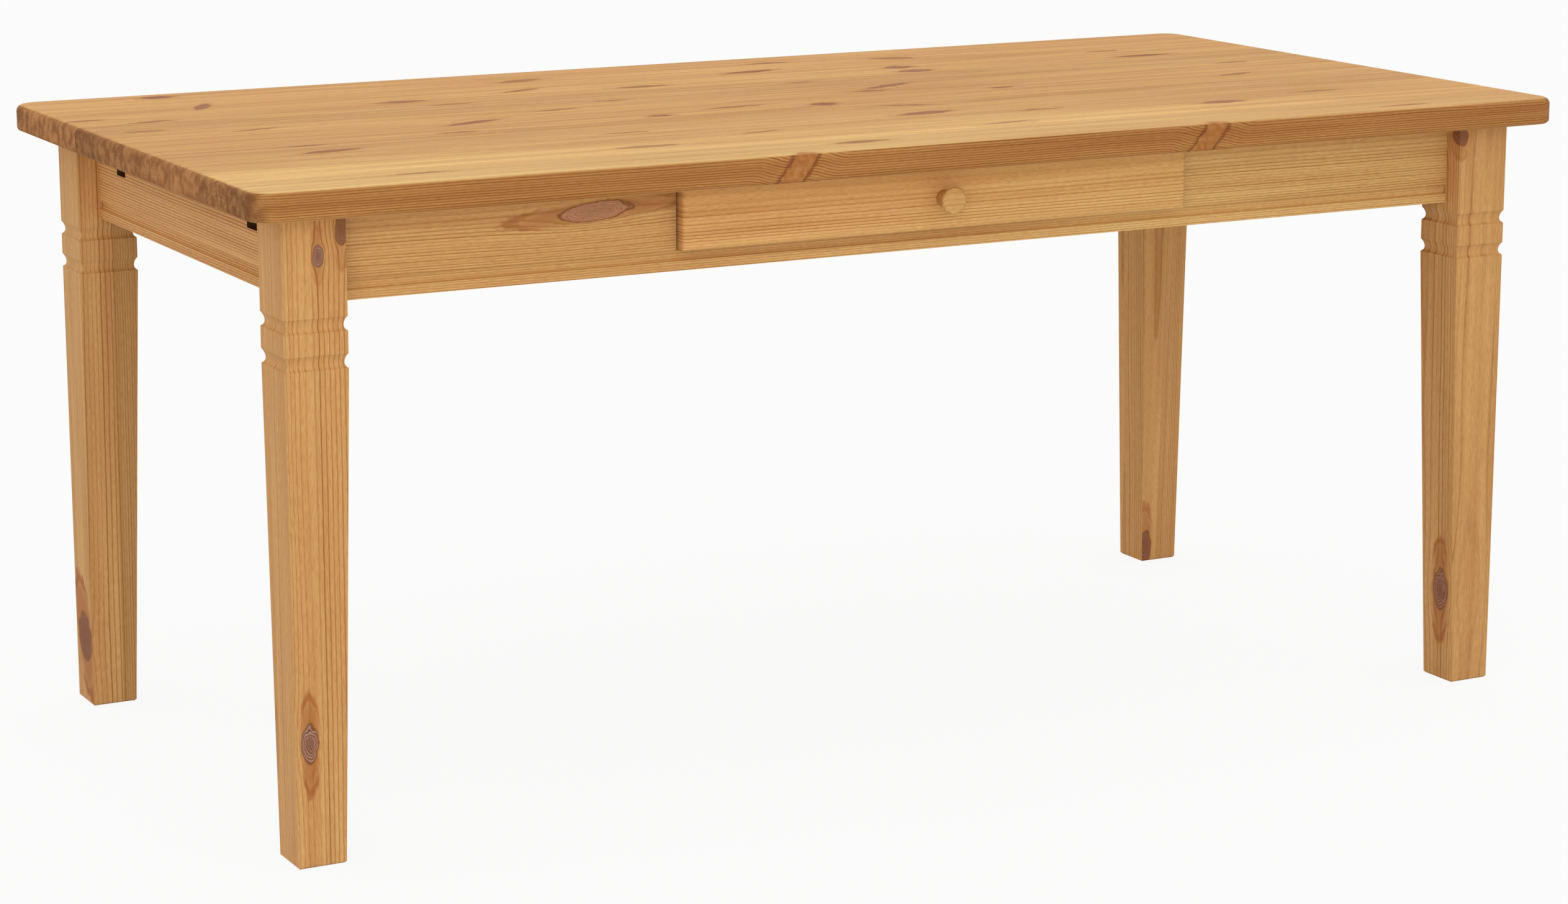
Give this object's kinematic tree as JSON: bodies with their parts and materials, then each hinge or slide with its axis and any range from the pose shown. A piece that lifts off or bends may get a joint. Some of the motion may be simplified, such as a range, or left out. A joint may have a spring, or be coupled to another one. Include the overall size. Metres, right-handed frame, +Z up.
{
  "type": "dining table",
  "caption": "Solid pine dining table with a rounded stave top, tapered coved legs, moulded aprons, leaf slots and a drawer that slides out.",
  "frame": {"origin": "on the floor, under the middle of the top", "axes": "+X along the table's length, +Z up, the drawer faces -Y"},
  "size_m": [1.71, 0.86, 0.75],
  "materials": {
    "oiled_pine": "oiled pine, satin",
    "plain_pine": "planed pine, matt",
    "drawer_panel": "thin plywood, matt",
    "zinc_steel": "zinc plated"
  },
  "bodies": {
    "table": {"table_top": "oiled_pine", "leg_front_left": "oiled_pine", "leg_front_right": "oiled_pine", "leg_back_left": "oiled_pine", "leg_back_right": "oiled_pine", "apron_front": "oiled_pine", "apron_back": "oiled_pine", "apron_left": "oiled_pine", "apron_right": "oiled_pine", "corner_block_front_left": "plain_pine", "corner_block_front_right": "plain_pine", "corner_block_back_left": "plain_pine", "corner_block_back_right": "plain_pine", "hanger_bolts": "zinc_steel", "hanger_washers": "zinc_steel", "hanger_nuts": "zinc_steel", "top_buttons": "plain_pine", "drawer_guide_left": "plain_pine", "drawer_guide_right": "plain_pine", "drawer_runner_left": "plain_pine", "drawer_runner_right": "plain_pine"},
    "drawer": {"drawer_front": "oiled_pine", "drawer_side_left": "plain_pine", "drawer_side_right": "plain_pine", "drawer_back": "plain_pine", "drawer_bottom": "drawer_panel", "drawer_knob": "oiled_pine"}
  },
  "joints": [
    {"name": "drawer_slide", "type": "slide", "parent": "table", "child": "drawer", "axis": [0, -1, 0], "range_m": [0, 0.3]}
  ]
}
